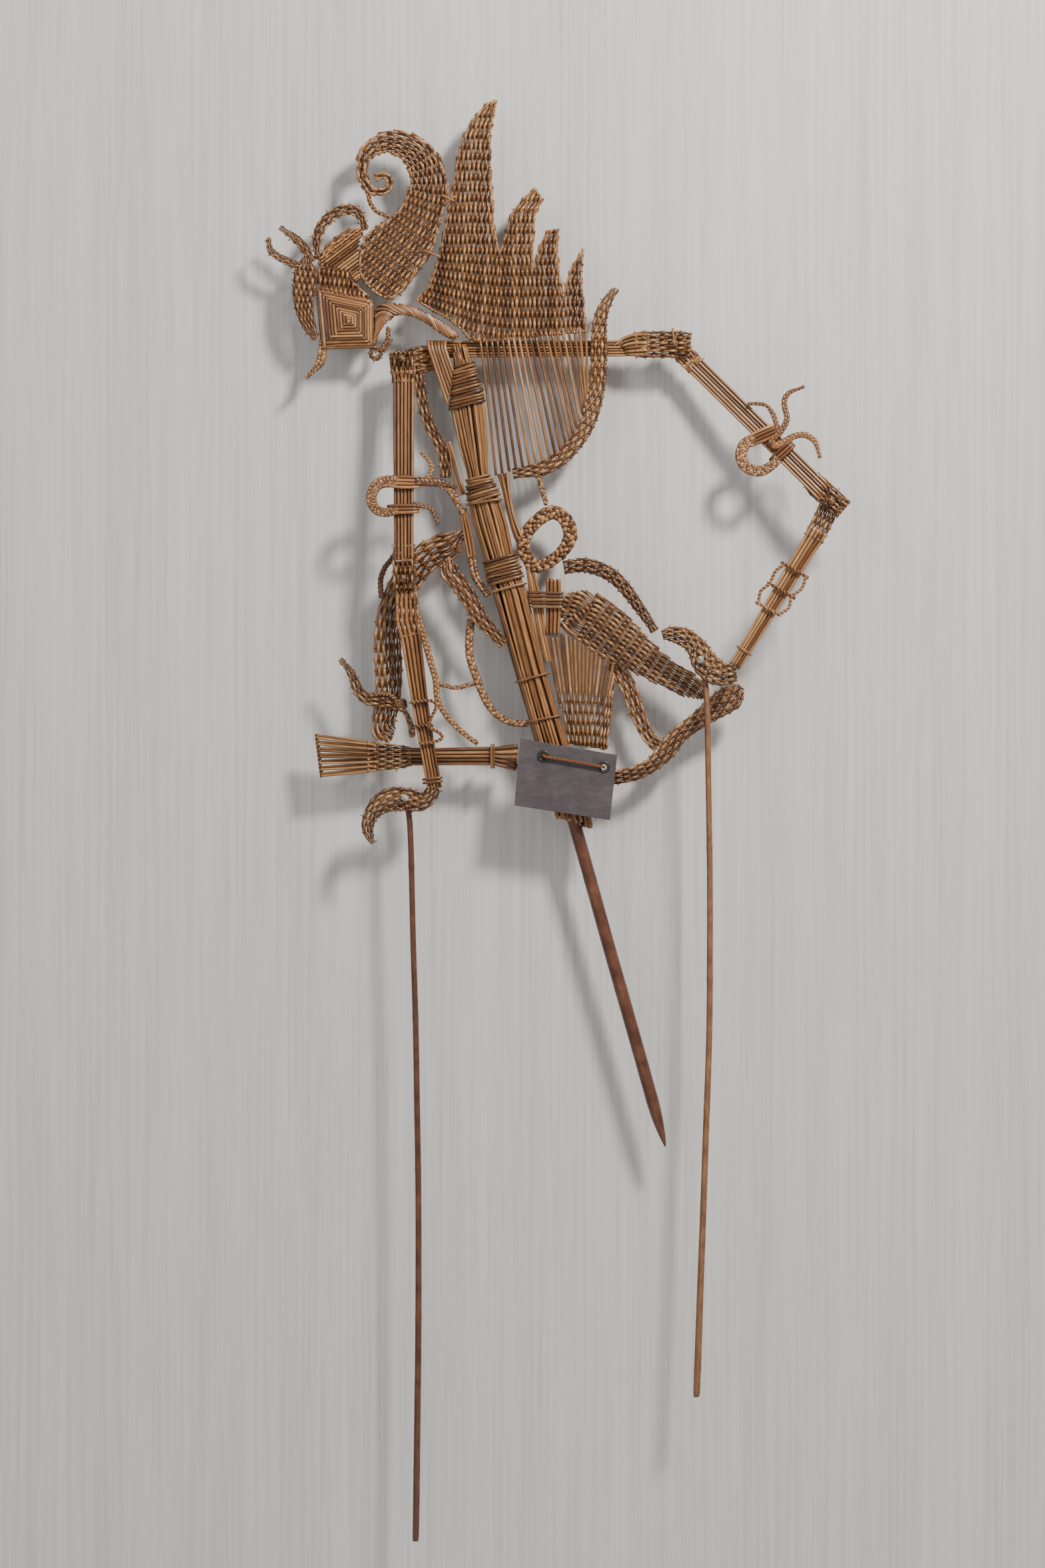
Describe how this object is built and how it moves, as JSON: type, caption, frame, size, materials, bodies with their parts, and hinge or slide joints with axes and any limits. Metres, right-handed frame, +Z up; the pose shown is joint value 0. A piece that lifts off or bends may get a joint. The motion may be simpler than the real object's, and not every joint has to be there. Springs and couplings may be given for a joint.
{
  "type": "plaited grass rod puppet",
  "caption": "Flat shadow-play figure in profile, plaited from grass stalks, with jointed arms on two hand rods, a main rod and a hanging tag.",
  "frame": {"origin": "on the flat of the main rod's front where it is gripped, below the stalk bundle", "axes": "+Z up, the figure lies in the XZ plane facing -X, and its front faces -Y"},
  "size_m": [0.3688, 0.0299, 0.9045],
  "materials": {
    "straw": "dried stalks, glossy skin",
    "woven_straw": "plaited dried stalks",
    "dark_wood": "smooth dark reddish brown rod",
    "light_wood": "smooth brown rod",
    "thread": "off-white twisted thread",
    "painted_board": "matt grey-purple paint on card",
    "eyelet_black": "black",
    "cord": "two-ply twisted cord"
  },
  "bodies": {
    "figure": {"main_rod": "dark_wood", "spine_bundle": "straw", "upper_binding": "straw", "waist_binding": "straw", "hip_binding": "straw", "ring_tie": "straw", "lower_tie_upper": "straw", "lower_tie_lower": "straw", "collar_straws": "straw", "shoulder_bar": "straw", "neck_arch": "woven_straw", "neck_pendant": "woven_straw", "face_lozenge": "woven_straw", "forehead_band": "woven_straw", "horn_loop": "woven_straw", "temple_fan": "woven_straw", "temple_weave": "woven_straw", "crown_scroll": "woven_straw", "wing_fan": "woven_straw", "wing_rim": "woven_straw", "chest_braid": "woven_straw", "hip_ring": "woven_straw", "hip_post": "straw", "back_strap": "woven_straw", "rear_thigh": "woven_straw", "rear_shin": "woven_straw", "shin_strap": "woven_straw", "apron": "woven_straw", "front_leg": "woven_straw", "knee_ring": "woven_straw", "anklet": "woven_straw", "front_foot": "straw", "foot_tie": "straw", "hip_sash": "woven_straw", "side_cord": "woven_straw", "sash_long": "woven_straw", "front_cord": "woven_straw", "front_shoulder_tie": "straw", "rear_shoulder_tie": "straw", "label_cord": "cord"},
    "front_arm": {"front_upper_arm": "straw", "front_armlet": "woven_straw", "front_elbow_tie": "straw"},
    "front_lower_arm": {"front_forearm": "straw", "front_bracelet": "woven_straw", "front_wrist_binding": "straw", "front_thread_tie": "thread"},
    "front_hand_rod": {"front_rod": "dark_wood"},
    "rear_arm": {"rear_upper_arm": "straw", "rear_armlet": "woven_straw", "rear_elbow_tie": "straw"},
    "rear_lower_arm": {"rear_forearm": "straw", "rear_bracelet": "woven_straw", "rear_wrist_binding": "straw", "rear_thread_tie": "thread"},
    "rear_hand_rod": {"rear_rod": "light_wood"},
    "label": {"label_board": "painted_board", "label_eyelet_left": "eyelet_black", "label_eyelet_right": "eyelet_black"}
  },
  "joints": [
    {"name": "front_shoulder", "type": "hinge", "parent": "figure", "child": "front_arm", "pos_m": [-0.14238, 0.0037, 0.40907], "axis": [0, 1, 0], "range_deg": [-5, 120]},
    {"name": "front_elbow", "type": "hinge", "parent": "front_arm", "child": "front_lower_arm", "pos_m": [-0.14138, 0.0037, 0.27007], "axis": [0, 1, 0], "range_deg": [-8, 130]},
    {"name": "front_rod_swing", "type": "hinge", "parent": "front_lower_arm", "child": "front_hand_rod", "pos_m": [-0.14038, 0.0037, 0.13257], "axis": [0, 1, 0], "range_deg": [-50, 80]},
    {"name": "rear_shoulder", "type": "hinge", "parent": "figure", "child": "rear_arm", "pos_m": [0.02912, 0.0037, 0.41907], "axis": [0, 1, 0], "range_deg": [-100, 9]},
    {"name": "rear_elbow", "type": "hinge", "parent": "rear_arm", "child": "rear_lower_arm", "pos_m": [0.12762, 0.0037, 0.31907], "axis": [0, 1, 0], "range_deg": [-100, 15]},
    {"name": "rear_rod_swing", "type": "hinge", "parent": "rear_lower_arm", "child": "rear_hand_rod", "pos_m": [0.04512, 0.0037, 0.21907], "axis": [0, 1, 0], "range_deg": [-75, 28]},
    {"name": "label_flap", "type": "hinge", "parent": "figure", "child": "label", "pos_m": [-0.05338, -0.0087, 0.15857], "axis": [-0.9844, 0, 0.1762], "range_deg": [0, 25]}
  ]
}
